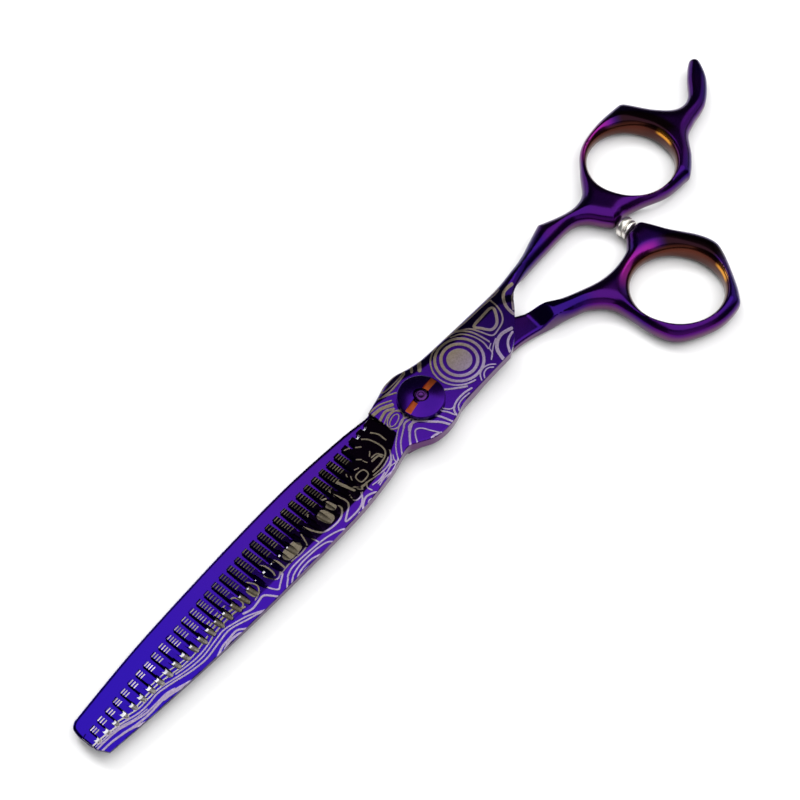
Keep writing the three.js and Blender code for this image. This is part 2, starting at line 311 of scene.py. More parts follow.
def crowned_bar(outline_gap, hole, z, bottom, top, width):
    """A bar with a crowned section between the outline and a finger hole.

    The bevel into the hole is wide on the hole's +Y side and narrow on its +X side."""
    hole_gap, hole_x, hole_y = hole
    reach = np.maximum(np.hypot(hole_x, hole_y), 0.1)
    narrow, wide = 1.5, 3.6
    bevel = mix(narrow, wide, smoothstep(0.0, 0.85, (0.94 * hole_y - 0.35 * hole_x) / reach))
    softness = 0.25
    outer = smooth_min(-outline_gap / width, 1, softness)
    inner = smooth_min(hole_gap / bevel, 1, softness)
    across = np.clip(1 - smooth_min(outer, inner, softness), 0, 2)
    height = (z - (top + bottom) / 2) / ((top - bottom) / 2)
    typical_half_width = 1.6  # turns the section's shape into something like a distance
    return ((across**2.1 + np.abs(height) ** 2.4) ** 0.45 - 1) * typical_half_width


def prism(corners, offset):
    """A closed prism: its end face's corners in order, and the vector to its other end face."""
    corners = [np.array(corner, float) for corner in corners]
    count = len(corners)
    points = corners + [corner + np.array(offset, float) for corner in corners]
    faces = [tuple(range(count))[::-1], tuple(range(count, 2 * count))]
    for index in range(count):
        after = (index + 1) % count
        faces.append((index, after, after + count, index + count))
    return points, faces


def circle(radius, height, sides):
    """Points around the Z axis."""
    angles = [2 * math.pi * side / sides for side in range(sides)]
    return [(radius * math.cos(angle), radius * math.sin(angle), height) for angle in angles]


def tube(stations, radius, sides=16):
    """A closed round bar through the stations, which run mostly along Y."""
    points = []
    for station in stations:
        for across, up, _ in circle(radius, 0, sides):
            points.append(np.array(station, float) + (across, 0, up))
    faces = [tuple(range(sides))]
    for row in range(len(stations) - 1):
        for side in range(sides):
            after = (side + 1) % sides
            first = row * sides
            faces.append((first + side, first + sides + side, first + sides + after, first + after))
    last = (len(stations) - 1) * sides
    faces.append(tuple(range(last + sides - 1, last - 1, -1)))
    return points, faces


def lathe(profile, sides=96):
    """Turns the (radius, height) corners of a section about Z: a ring, or a solid if it starts and
    ends on the axis."""
    points = []
    rows = []
    for radius, height in profile:
        first = len(points)
        on_axis = radius == 0
        points.extend([(0, 0, height)] if on_axis else circle(radius, height, sides))
        rows.append([first] * sides if on_axis else range(first, first + sides))
    faces = []
    for below, above in zip(rows, rows[1:] + rows[:1]):
        for side in range(sides):
            after = (side + 1) % sides
            corners = dict.fromkeys([below[side], below[after], above[after], above[side]])
            if len(corners) > 2:
                faces.append(tuple(corners))
    return points, faces


def together(solids):
    """One mesh from several separate solids."""
    points = []
    faces = []
    for solid_points, solid_faces in solids:
        first = len(points)
        points.extend(solid_points)
        faces.extend(tuple(corner + first for corner in face) for face in solid_faces)
    return points, faces


def cut(piece, solids, material=None):
    """Cuts separate solids out of a piece; the cut faces take the given material."""
    points, faces = together(solids)
    tool = new_piece("tool", points, faces, material)
    shell = bmesh.new()
    shell.from_mesh(tool.data)
    bmesh.ops.recalc_face_normals(shell, faces=shell.faces)
    shell.to_mesh(tool.data)
    shell.free()
    modifier = piece.modifiers.new("cut", "BOOLEAN")
    modifier.operation = "DIFFERENCE"
    modifier.object = tool
    modifier.solver = "MANIFOLD"
    modifier.material_mode = "TRANSFER"
    with bpy.context.temp_override(object=piece, active_object=piece, selected_objects=[piece]):
        bpy.ops.object.modifier_apply(modifier=modifier.name)
    bpy.data.meshes.remove(tool.data)


# ---- Comb blade: blade, pivot area, finger shank, ring and finger rest in one forging ----
def tooth_tip_y(x):
    straight, rise, bend = 6.2, 3.4, -45.3
    along = np.clip((x - bend) / (TIP_X - bend), 0, 1)
    return straight - rise * along**1.6


def tooth_root_y(x):
    """The slots' roots fall a little towards the middle, and climb near the pivot."""
    at_tip, at_middle, climb, middle = 0.35, -0.7, 6.2, -57
    fall = np.clip((x - TIP_X) / (middle - TIP_X), 0, 1)
    return mix(at_tip, at_middle, fall) + climb * smoothstep(-24.5, -14.5, x)


COMB_HANDLE = outline(
    [(-10.1, -5.6)],
    [(-8.3, -6.75), (-5.3, -8.45), (-1.8, -9.05), (1.7, -8.75), (5.7, -7.75), (11.7, -7.6), (22.2, -7.6)],
    [(25.6, -5.9), (31, -1.6), (35.9, 2.3), (42.5, 3.75), (50.7, 4.05), (58.7, 3.85), (62.1, 2.1),
     (64.1, -1.2), (65.6, -3.3), (67.7, -3.6), (70.0, -3.6), (74.5, -5.1), (80.5, -7.75), (86.4, -8.45),
     (88.5, -8.3), (92.6, -5.5), (96.8, -1.5), (100.8, -0.1), (107.0, 1.2), (112.6, 5.0), (115.5, 8.9),
     (115.8, 10.6), (114.7, 11.5), (113.2, 11.0), (110.2, 9.0), (105.2, 5.2), (100.85, 5.3), (97.3, 9.2),
     (94.5, 14.6), (93.4, 16.1), (91.6, 16.6), (84.4, 16.95), (77.5, 15.65), (72.5, 12.0), (67.4, 7.5),
     (63.3, 6.55), (59.1, 7.5), (53.7, 9.85)],
    [(49, 8.6), (44.2, 7.3), (35.4, 6.0), (25.4, 6.15), (10.4, 6.55), (5.4, 7.25), (1.4, 8.55),
     (-0.6, 8.75), (-2.6, 8.65), (-5, 8.0), (-8.6, 6.95), (-10.1, 6.6)],
)

COMB_BLADE = outline(
    [(TIP_X, tooth_tip_y(TIP_X))],
    [(TIP_X, -1.2)],
    [(-103.8, -3.8)],
    [(-89.4, -5.3), (-69.4, -6.75), (-48.5, -7.55), (-30.4, -7.8), (-18.4, -6.85), (-11.3, -5.5),
     (-8, -6.6)],
    [(-7, 6.0)],
    *[[(x, tooth_tip_y(x))] for x in np.linspace(-10, TIP_X + 3, 30)],
)

# Where the hollow grind on the comb's outer face begins, from the tip to the pivot area
HOLLOW_BORDER = np.array(
    [(-105, -0.8), (-90, -2.2), (-70, -3.4), (-59.5, -4.2), (-44.5, -4.5), (-35, -5.2), (-27.5, -5.3),
     (-19.5, -5.0), (-14.5, -3.6), (-10, -1.5)]
)


def hollow_border_y(x):
    return np.interp(x, HOLLOW_BORDER[:, 0], HOLLOW_BORDER[:, 1])


def along_blade(x):
    """From 0 at the tip of a blade to 1 at the pivot area."""
    return np.clip((x - TIP_X) / (BLADE_START_X - TIP_X), 0, 1)


def comb_face_height(x, y):
    """Height of the comb blade's outer face: a flat spine, and a grind falling to the teeth."""
    along = along_blade(x)
    flat = mix(COMB_BOTTOM + COMB_TIP_THICKNESS, COMB_TOP, along)
    slope = mix(0.04, 0.2, along)
    return flat - slope * np.maximum(y - hollow_border_y(x), 0)


class CombForging:
    """The solid of the comb blade's forging, for contour_surface()."""

    low = (TIP_X, -9.5, 0)
    high = (116.2, 17.5, COMB_TOP)

    @staticmethod
    def plan(x, y):
        hole = hole_place(x, y, FINGER_HOLE)
        return signed_distance(x, y, COMB_HANDLE), hole, signed_distance(x, y, COMB_BLADE)

    @staticmethod
    def solid(x, y, z, plan):
        handle, hole, blade = plan
        reach = np.hypot(x, y)
        rest = smoothstep(97, 108, x)  # 1 along the finger rest
        # Behind the pivot area the underside steps down to the table, and the top falls a little.
        handle_bottom = mix(HANDLE_BOTTOM, REST_BOTTOM, rest)
        bottom = mix(COMB_BOTTOM, handle_bottom, smoothstep(36.5, 43.5, reach) * (x > 0))
        top = mix(COMB_TOP, mix(HANDLE_TOP, REST_TOP, rest), smoothstep(34, 52, x))
        height = np.abs(z - (top + bottom) / 2) - (top - bottom) / 2
        # The pivot area is a flat bar with a wide round edge on the finger side.
        back_edge = smoothstep(-9, -3, x) * smoothstep(0, 3, y)
        radius = mix(0.3, mix(2.3, 4.2, smoothstep(8, 30, x)), back_edge)
        flat_bar = rounded_edge(handle, height, radius, mix(1.0, 0.5, back_edge))
        round_bar = crowned_bar(handle, hole, z, bottom, top, mix(CROWN_WIDTH, REST_CROWN_WIDTH, rest))
        handle_body = mix(flat_bar, round_bar, smoothstep(30, 44, x))
        face = (z - comb_face_height(x, y)) / 1.05
        blade_body = rounded_edge(blade, np.maximum(face, COMB_BOTTOM - z), 0.22, 1.0)
        return np.minimum(handle_body, blade_body)


def slot_x(index):
    """The middle of a slot; the slot before a tooth has the tooth's index."""
    return FIRST_TOOTH_X + (index - 0.5) * TOOTH_PITCH


def tooth_slots():
    """The open slots between the teeth, each with a rounded root."""
    solids = []
    low, high, past_tips = 1.5, 8.5, 9
    radius = (TOOTH_PITCH - TOOTH_WIDTH) / 2
    for index in range(TOOTH_COUNT + 1):
        centre = slot_x(index)
        root = tooth_root_y(centre) + radius
        corners = [(centre + radius, past_tips, low), (centre - radius, past_tips, low)]
        for step in range(9):
            angle = math.pi + math.pi * step / 8
            corners.append((centre + radius * math.cos(angle), root + radius * math.sin(angle), low))
        solids.append(prism(corners[::-1], (0, 0, high - low)))
    return solids


FLUTE_RADIUS = 0.85


def slot_flutes():
    """Shallow round channels that lead from each slot up the grind to the spine."""
    solids = []
    for index in range(TOOTH_COUNT - 4):
        x = slot_x(index)
        root = tooth_root_y(x)
        border = hollow_border_y(x)
        deepest = mix(0.25, 0.6, smoothstep(-104, -75, x))
        stations = []
        for share in np.linspace(-0.25, 1, 9):
            y = mix(root, border + 0.1, share)
            depth = deepest * (1 - max(share, 0) ** 2)
            stations.append((x, y, comb_face_height(x, y) + FLUTE_RADIUS - depth))
        solids.append(tube(stations, FLUTE_RADIUS))
    return solids


def root_flats():
    """A small polished flat at the root of each slot, smaller towards the middle of the blade."""
    solids = []
    bare_from, bare_to = -44, -17  # no flats along this part of the blade
    for index in range(TOOTH_COUNT + 1):
        x = slot_x(index)
        if bare_from < x < bare_to:
            continue
        share = smoothstep(-92, -58, x) * (x < bare_from)
        uneven = math.sin(index * 2.6)
        half = mix(0.56, 0.22, share) + 0.07 * uneven
        y = tooth_root_y(x)
        low = comb_face_height(x, y) - mix(0.32, 0.62, smoothstep(-104, -75, x))
        back, front = y - mix(0.6, 0.3, share) - 0.1 * uneven, y + 0.4
        rise = 0.04 * (front - back)
        left = x - half
        high = low + 2
        corners = [(left, back, low + rise), (left, front, low), (left, front, high), (left, back, high)]
        solids.append(prism(corners, (2 * half, 0, 0)))
    return solids


def tooth_grooves():
    """The row of small V grooves across every tooth's end."""
    solids = []
    last_grooved_x, deep, past_face, half_length = -20, 0.16, 0.1, 0.8
    for index in range(TOOTH_COUNT):
        x = FIRST_TOOTH_X + index * TOOTH_PITCH
        if x > last_grooved_x:
            break
        towards_middle = smoothstep(-98, -60, x)
        pitch = mix(0.64, 0.74, towards_middle)
        half = mix(0.24, 0.19, towards_middle)
        count = 3 + int(4.0 * towards_middle) - int(3 * smoothstep(-30, -20, x))
        first = tooth_tip_y(x) - 0.5 + 0.1 * math.sin(index * 2.3)
        for groove in range(count):
            y = first - groove * pitch
            z = comb_face_height(x, y)
            lean = 0.06 * math.sin(index * 1.7 + groove)
            left, high = x - half_length, z + past_face
            middle = y + lean
            corners = [(left, middle + half, high), (left, middle, z - deep), (left, middle - half, high)]
            solids.append(prism(corners, (2 * half_length, 0, 0)))
    return solids


# ---- Plain blade: blade, pivot area, thumb shank and ring in one forging ----
PLAIN_HANDLE = outline(
    [(-10.1, -5.0)],
    [(-8.3, -5.6), (-2, -7.9), (4, -7.2), (12, -6.9), (24, -6.2), (32.8, -7.9), (40.8, -11.2),
     (44.3, -12.9), (47.45, -16.55), (48.15, -21.4), (48.45, -28.35), (50.9, -33.75), (58.8, -38.1),
     (65.6, -38.65), (68.5, -36.9), (72, -32.55), (75.45, -27.3), (76.45, -24.1), (75.45, -19.8),
     (72.5, -14), (70.7, -9.6), (69.5, -7.6), (67.4, -7.2), (65.0, -7.4), (63.1, -8.9), (60.8, -10.2),
     (55.7, -10.85), (50.8, -10.25), (45.8, -8.4), (40.8, -6.1), (32.8, -1.95), (27, 2.2), (19, 5.2),
     (8, 6.0), (2, 8.2), (-3, 8.2), (-10.1, 7.4)],
)

PLAIN_BLADE = outline(
    [(TIP_X, -0.6)],
    [(-80, -1.6), (-45, -2.8), (-14, -4.2), (-7, -5.0)],
    [(-7, 7.3)],
    [(-10.2, 7.4), (-18.2, 8.45), (-33.2, 9.5), (-48.2, 9.65), (-65.3, 9.3), (-84.3, 8.55), (-103.3, 6.9)],
    [(-104.6, 6.0), (-105.1, 4.2), (TIP_X, 3)],
)


class PlainForging:
    """The solid of the plain blade's forging, for contour_surface()."""

    low = (TIP_X, -39.5, 0)
    high = (77, 10, HANDLE_TOP)

    @staticmethod
    def plan(x, y):
        hole = hole_place(x, y, THUMB_HOLE)
        return signed_distance(x, y, PLAIN_HANDLE), hole, signed_distance(x, y, PLAIN_BLADE)

    @staticmethod
    def solid(x, y, z, plan):
        handle, hole, blade = plan
        reach = np.hypot(x, y)
        behind = x > 0  # the pivot
        # Behind the pivot area the bar grows down to the table and up beside the comb blade's shank.
        bottom = mix(PLAIN_BOTTOM, HANDLE_BOTTOM, smoothstep(28, 40, reach) * behind)
        top = mix(PLAIN_TOP, HANDLE_TOP, smoothstep(33.5, 38.5, reach) * behind)
        height = np.abs(z - (top + bottom) / 2) - (top - bottom) / 2
        flat_bar = rounded_edge(handle, height, 0.6, 1.0)
        round_bar = crowned_bar(handle, hole, z, bottom, top, CROWN_WIDTH)
        handle_body = mix(flat_bar, round_bar, smoothstep(33, 43, reach) * behind)

        # The blade's underside curves up to a thin cutting edge, and the blade thins to its tip.
        along = along_blade(x)
        deepest = mix(PLAIN_TOP - PLAIN_TIP_THICKNESS, PLAIN_BOTTOM, along)
        cutting_edge = mix(-0.6, -4.2, along)
        edge_thickness, bevel_width = 0.3, 7.0
        across = np.clip((y - cutting_edge) / bevel_width, 0, 1)
        edge_bottom = PLAIN_TOP - edge_thickness
        under = edge_bottom - (edge_bottom - deepest) * (1 - (1 - across) ** 2)
        blade_body = rounded_edge(blade, np.maximum(z - PLAIN_TOP, (under - z) / 1.1), 0.65, 0.6)
        return np.minimum(handle_body, blade_body)


# ---- The etched pattern on the comb blade: strokes of (width, points) on its upper face ----
THIN_LINE = 1.0  # a stroke up to this width etches a little narrower than it is drawn
THIN_LINE_SHARE = 0.92
FLUTES_ETCHED_TO_X = -58
STROKE_STEPS = 6  # between two points of a stroke


def loop(centre, across, up, width, lean=0, start=0, end=360):
    """An elliptical ring, or an arc of one, as a stroke."""
    angles = np.radians(np.linspace(start, end, 33))
    x = across * np.cos(angles)
    y = up * np.sin(angles)
    turn = math.radians(lean)
    points = np.stack([x * math.cos(turn) - y * math.sin(turn), x * math.sin(turn) + y * math.cos(turn)], 1)
    return width, points + centre


def stroke(width, *points):
    return width, np.array(spline(points, STROKE_STEPS))


def strokes(*rows):
    return [stroke(*row) for row in rows]


def closed_stroke(width, *points):
    ring = [points[-1], *points, points[0], points[1]]
    return width, np.array(spline(ring, STROKE_STEPS)[STROKE_STEPS:-STROKE_STEPS])


# Strokes that run from beside the dial to the blade's back edge.
NECK_STROKES = strokes(
    (0.3, (-8.9, -1.1), (-10.1, -1.7), (-12.6, -3.4), (-14.5, -5.6), (-15, -6.8)),
    (0.38, (-6.9, -1.2), (-9.3, -2.5), (-11.4, -3.8), (-13.4, -5.9)),
    (0.55, (-5.2, -2.2), (-7.7, -3.3), (-9.8, -5.1), (-11, -6.6)),
)


KNOT = (13.2, -0.1)

# The round knot behind the dial, and the lines around it and around the dial.
PIVOT_AREA_STROKES = strokes(
    (0.45, (15.8, 6.1), (18.2, 5.4), (20.2, 2.9), (20.9, 0.4), (21.1, -2.2)),
    (0.4, (16.6, 5.2), (18.6, 3.8), (19.8, 1.4), (20.1, -1.2), (19.6, -3.2)),
    (0.5, (5, -2.3), (7.7, -4.7), (9, -5.7)),
    (0.3, (17.8, -5.5), (19.2, -4.7), (19.8, -3.4), (21, -2.8)),
    (0.3, (18, -5.4), (20.7, -3.7), (22.7, -2.8)),
    (0.8, (36.6, 3.7), (33.6, 3.6), (31.6, 2), (30.6, 0.2), (30.3, -1.8)),
    (0.5, (36.8, 2.4), (34.3, 1.7), (32.4, 0.2), (31.2, -1)),
    (0.9, (19.6, -7.6), (20.6, -5), (22.5, -3.5), (24.6, -3.1), (27, -3.8)),
    (0.6, (22, -7.4), (23.2, -5.9), (24.6, -5), (26.4, -4.6)),
    (0.35, (12.3, -7.2), (13.3, -6), (14.8, -5.5), (16.4, -5.9), (17.5, -7)),
    (0.35, (13.2, -7.3), (14.2, -6.4), (15.6, -6.3), (16.6, -7.1)),
    (0.5, (1.8, -8.9), (2.6, -7.3), (4.5, -6.4), (7.2, -6.3), (9.3, -6.8)),
    (0.35, (3, -8.6), (4, -7.4), (5.8, -7), (8, -7.2)),
    (0.3, (29.5, 5.4), (31.5, 4.9), (33.5, 5)),
    (0.3, (30.3, 5.9), (32, 5.5), (34, 5.6)),
    (0.35, (-9, -6.6), (-8, -5.2), (-6.7, -4.1), (-5.5, -4.9), (-4.7, -6.7), (-3.6, -9)),
    (0.6, (-7.7, -3.1), (-6.6, -2.4), (-4.7, -3), (-3, -5.3), (-1.7, -7), (-0.8, -9.1)),
    (0.5, (-8, -1.8), (-6.7, -1.2), (-4.4, -2), (-2, -4), (-0.7, -6), (0.2, -9.3)),
    (0.4, (-8.9, -1), (-6.7, -0.2), (-5.2, -0.8)),
    (0.35, (1.1, -4.7), (2, -6.4), (3.2, -7)),
    (0.3, (-10, 2.1), (-7.8, 2.9), (-6.2, 2.6), (-5.3, 1.3)),
    (0.4, (0.6, -5.4), (1.3, -6.7), (1.7, -8.2)),
    (0.5, (-5.9, -8), (-4.7, -8.2), (-3.6, -8.8)),
    (0.7, (-10, 3.3), (-7.5, 3.9), (-5.8, 3)),
    (0.9, (-10, 5.4), (-7.6, 5.1), (-5.2, 3.9)),
    (0.4, (-10, 6.4), (-7, 6), (-4.5, 4.7)),
    (0.4, (-6, 7.2), (-3.7, 6), (-2.3, 5.2)),
    (0.4, (-5.4, 6.9), (-3, 6.4), (0, 6.5), (2.5, 6.9)),
    (0.5, (2.6, 7), (3.6, 8)),
    (0.7, (4, 6), (5.4, 7.4)),
    (1, (5.4, 4.9), (7.6, 6.9)),
) + [
    loop(KNOT, 1.45, 1.45, 2.9),
    loop(KNOT, 4.1, 4.1, 0.8),
    loop(KNOT, 5.6, 5.4, 0.72),
    loop(KNOT, 6.75, 6.2, 0.42, start=95, end=255),
    closed_stroke(0.42, (18.6, 5.6), (22.3, 5.35), (29.3, 4.95), (29.8, 4), (29, 1), (27.4, -1),
                  (25, -1.75), (22.8, -1.7), (21.8, 0.9), (20.9, 3.2)),
    closed_stroke(0.75, (22, 2.9), (25, 3.2), (28, 3.2), (28.4, 2.2), (26.4, -0.2), (24.8, -0.8),
                  (23.6, -0.4), (22.7, 1.3)),
    loop((-7.9, 1.0), 1.7, 0.75, 0.3, lean=15),
    loop((-7.6, 0.9), 2.5, 1.6, 0.35, lean=15),
    loop((-0.6, 7.75), 3.6, 0.7, 0.35),
]


# The lines between the pivot area and the middle of the comb blade.
MID_BLADE_STROKES = strokes(
    (0.4, (-15.4, 4), (-14.6, 2.6), (-14.3, 0.1), (-14.6, -1.8), (-15.7, -3), (-17.9, -3.5),
     (-20.4, -3.5)),
    (0.4, (-13, 3.4), (-12.4, 1.7), (-12.6, -0.5)),
    (0.35, (-24.8, -3.9), (-22.9, -4.3), (-20.4, -4.9), (-17.9, -5.2), (-15.7, -4.6), (-14.1, -3)),
    (0.3, (-23, -5.6), (-21, -5.9), (-19, -5.6)),
    (0.3, (-22, -6.8), (-20, -6.5), (-18, -6.7)),
    (0.3, (-18.5, -6), (-17, -5.7), (-15.5, -6)),
    (0.35, (-18.5, 5), (-17.9, 3.9), (-17, 2.8)),
    (0.35, (-20.6, 2.9), (-20.1, 1.6), (-19.4, 0.6)),
    (0.3, (-17.8, -0.3), (-16.8, 0.5)),
    (0.3, (-20.4, 5.4), (-19.4, 5.1), (-18.6, 4.6)),
    (0.3, (-19.5, 0.1), (-19.3, -0.9)),
    (0.3, (-22.8, 0.3), (-21.5, -0.3)),
    (0.3, (-24.3, 0.8), (-25, -0.2)),
    (0.3, (-24.1, -0.3), (-24.7, -1.2)),
    (0.3, (-25.6, 0), (-26.1, -0.8)),
    (0.4, (-26.3, -2), (-25.3, -2.7), (-25.4, -3.9), (-23.9, -4.3)),
    (0.35, (-17.8, -0.9), (-16.4, -1.2), (-15.9, -2.6)),
    (0.5, (-18.4, -1.6), (-16.7, -1.8), (-16.4, -2.6)),
    (0.45, (-39.9, -0.5), (-39.4, -2.7), (-38.5, -4.6), (-36.3, -5.5), (-33.5, -5.5), (-31.6, -4.3),
     (-31.2, -3)),
    (2.6, (-35.2, -1.8), (-35, -3.4)),
    (1.4, (-32.4, -0.9), (-32.2, -2.4)),
    (0.45, (-29.5, 1.1), (-30, 0.4), (-29.7, -1.1), (-29.4, -3.6), (-30.1, -4.9), (-32.2, -6.1),
     (-33.3, -6.8), (-32.2, -7.1), (-29.1, -7.1), (-27.2, -6.3), (-25.9, -4.9)),
    (0.8, (-27, 0.9), (-26.7, -1), (-26.3, -3.2)),
    (0.35, (-27.7, -3), (-28.3, -4.9), (-27.2, -5.5), (-25.7, -5), (-24.8, -4.2)),
    (0.5, (-29.1, -8.3), (-27.9, -7.1), (-26, -6.4), (-24.1, -7.1), (-23.5, -8)),
    (0.45, (-27.5, -8.2), (-26.3, -7.5), (-25, -7.9)),
    (0.5, (-32.3, -8.6), (-29.8, -7.8)),
    (0.35, (-38, 0), (-37, 0.8)),
    (0.45, (-32.9, 1.1), (-31.6, 0.3)),
    (0.35, (-23.3, -4.1), (-24.2, -5.2), (-24, -6.3)),
    (0.3, (-14.6, -4.3), (-15.3, -5.2), (-15.6, -6.6)),
    (0.35, (-15.7, -3.9), (-18.1, -4.5), (-21, -4.2)),
    (0.35, (-15.6, -4.8), (-18.1, -5.9), (-21.9, -6.3)),
    (0.35, (-14.5, -5.7), (-16.7, -6.5), (-20, -7.1)),
    (0.35, (-41, -3.6), (-40.7, -5.5)),
    (0.4, (-51, -5.8), (-49.1, -5.2), (-46.3, -5.2), (-43.2, -5.5), (-40.7, -5.8), (-37.9, -6.4),
     (-35.4, -7.4), (-34.1, -8.5)),
    (0.4, (-52, -7.8), (-49.8, -6.5), (-46.9, -6), (-44.1, -6.1), (-41.6, -6.4), (-39.4, -7.1),
     (-38.3, -8.5)),
    (0.4, (-50.6, -8.2), (-49.2, -7.3), (-46.9, -6.9), (-44.4, -7.1), (-42.4, -7.9)),
    (0.45, (-49.4, -8.5), (-47.8, -7.7), (-46, -7.8), (-44.4, -8.4)),
    (0.35, (-51.5, -4.3), (-48, -4.1), (-45.4, -4.4), (-43.4, -4.3), (-42.6, -3.8), (-41.6, -1.4)),
    (2.8, (-46.8, -2.4), (-44.6, -2.4)),
    (0.5, (-50.6, 0), (-49.7, -1.5), (-49.8, -3.8)),
) + [
    closed_stroke(0.35, (-23.5, -1.2), (-21.3, -1.4), (-21.5, -3.1), (-23.8, -3.2)),
]


# The lines from the middle of the comb blade to its tip.
TIP_STROKES = strokes(
    (0.4, (-55.7, -3.9), (-55.1, -5.4), (-54.4, -6.3), (-53.6, -5.9), (-52.3, -5.2), (-51.2, -4.6)),
    (0.4, (-53.6, -8), (-52.5, -7), (-51.2, -6.1)),
    (0.5, (-63.4, -4.3), (-61.4, -5), (-59.5, -4.9), (-58, -4.7), (-57.2, -5.1), (-56.4, -6.3),
     (-55.4, -7.9)),
    (0.35, (-57.4, 0.2), (-56.8, -1.1), (-56.6, -2.2), (-57.2, -3.2), (-58.3, -3.9), (-59.4, -4.1)),
    (0.35, (-54, -1.8), (-53.6, -3.2), (-53.1, -4.3), (-52.3, -4.5), (-51.2, -3.9)),
    (0.4, (-52.7, 0.7), (-52.1, -0.4), (-52.1, -2.4), (-52.5, -3.5)),
    (1.3, (-58.6, -1.6), (-58.6, -3)),
    (0.4, (-105.2, -0.2), (-102, -0.5), (-98, -1.3), (-94, -2.5), (-91, -2.75), (-88, -2.6), (-84, -3.5),
     (-80, -4.6), (-76, -5.2), (-72, -4.8), (-68, -4.5), (-64, -5.8), (-60, -7.2), (-58.8, -8)),
    (0.36, (-98.5, -0.3), (-96, -1), (-93, -1.85), (-90, -1.9), (-87, -2.1), (-84, -2.9), (-80, -3.9),
     (-76, -4.3), (-72, -3.9), (-69, -3.6), (-66.5, -4.2), (-63, -5.4), (-59.5, -7.4)),
    (0.42, (-105.2, -1.4), (-102, -1.5), (-99, -1.9), (-96, -2.9), (-93, -3.7), (-90, -3.9), (-87, -4),
     (-85, -4.6)),
    (0.5, (-105.2, -2.4), (-102, -2.6), (-99, -3.2), (-96, -3.9), (-93, -4.35), (-90, -4.4), (-87, -4.3)),
    (0.25, (-104.8, -0.8), (-101, -1.15), (-98, -1.8), (-95, -2.85), (-92, -3.3)),
    (0.55, (-99.2, -3.1), (-97.5, -3.6), (-95.9, -4.3), (-94.2, -5.1)),
    (0.9, (-88.2, -4.4), (-85.6, -4.9), (-83.4, -5.6), (-81.4, -6.3)),
    (0.5, (-75.5, -7), (-73.6, -6.5), (-71.6, -5.9), (-69.7, -5.8), (-67.9, -5.7), (-66.8, -5.9),
     (-65.7, -6.9), (-64.4, -7.8)),
    (0.5, (-73.2, -7.2), (-71.2, -6.5), (-69, -6.3), (-67.2, -6.7), (-66.2, -7.7)),
    (0.5, (-71.5, -7.2), (-69.5, -7), (-67.8, -7.3)),
    (0.35, (-82.5, -2.6), (-80, -3.1), (-77, -3.5), (-74, -3.4), (-71.5, -2.9)),
    (0.35, (-93, -1.2), (-89, -1.1), (-86, -1.3), (-83, -1.9), (-80.5, -2.4), (-77.5, -2.6), (-75, -2.4),
     (-72, -1.9)),
    (0.3, (-88, -0.3), (-84, -0.6), (-81, -1.4), (-78, -2)),
    (0.5, (-71, -1.6), (-68, -1.5), (-65, -1.6), (-63.3, -2)),
    (0.4, (-71, -0.7), (-68, -0.6), (-65, -0.6)),
    (0.4, (-70.6, 0.1), (-67, 0.15), (-64.5, 0.1)),
    (0.45, (-70, -2.6), (-67, -2.5), (-64, -2.7), (-62, -3.5)),
) + [
    loop((-62.3, -1.5), 0.9, 1.6, 0.4),
]


def flute_strokes():
    """A wide stroke up the channel of each slot on the front half of the blade."""
    rows = []
    for index in range(TOOTH_COUNT):
        x = slot_x(index)
        root = tooth_root_y(x)
        if x < FLUTES_ETCHED_TO_X:
            rows.append((1.15, (x, root), (x, mix(root, hollow_border_y(x), 0.7))))
    return strokes(*rows)


def stroke_distance(x, y, drawn):
    """Distance to the nearest stroke's edge, negative on the stroke, and at most 1."""
    farthest = 1.0
    nearest = np.full(len(x), farthest)
    for width, points in drawn:
        low = points.min(0) - farthest - width
        high = points.max(0) + farthest + width
        near = np.flatnonzero((x > low[0]) & (x < high[0]) & (y > low[1]) & (y < high[1]))
        start = points[:-1]
        gap = line_gap(x[near, None] - start[:, 0], y[near, None] - start[:, 1], points[1:] - start)
        half = width / 2 if width > THIN_LINE else width * THIN_LINE_SHARE / 2
        nearest[near] = np.minimum(nearest[near], gap - half)
    return nearest


def etch_distance(x, y):
    """Distance to the pattern, which is drawn apart for the blade and for the pivot area."""
    on_blade = NECK_STROKES + MID_BLADE_STROKES + TIP_STROKES + flute_strokes()
    on_pivot_area = NECK_STROKES + PIVOT_AREA_STROKES
    blade = x < BLADE_START_X - 0.05
    return np.where(blade, stroke_distance(x, y, on_blade), stroke_distance(x, y, on_pivot_area))


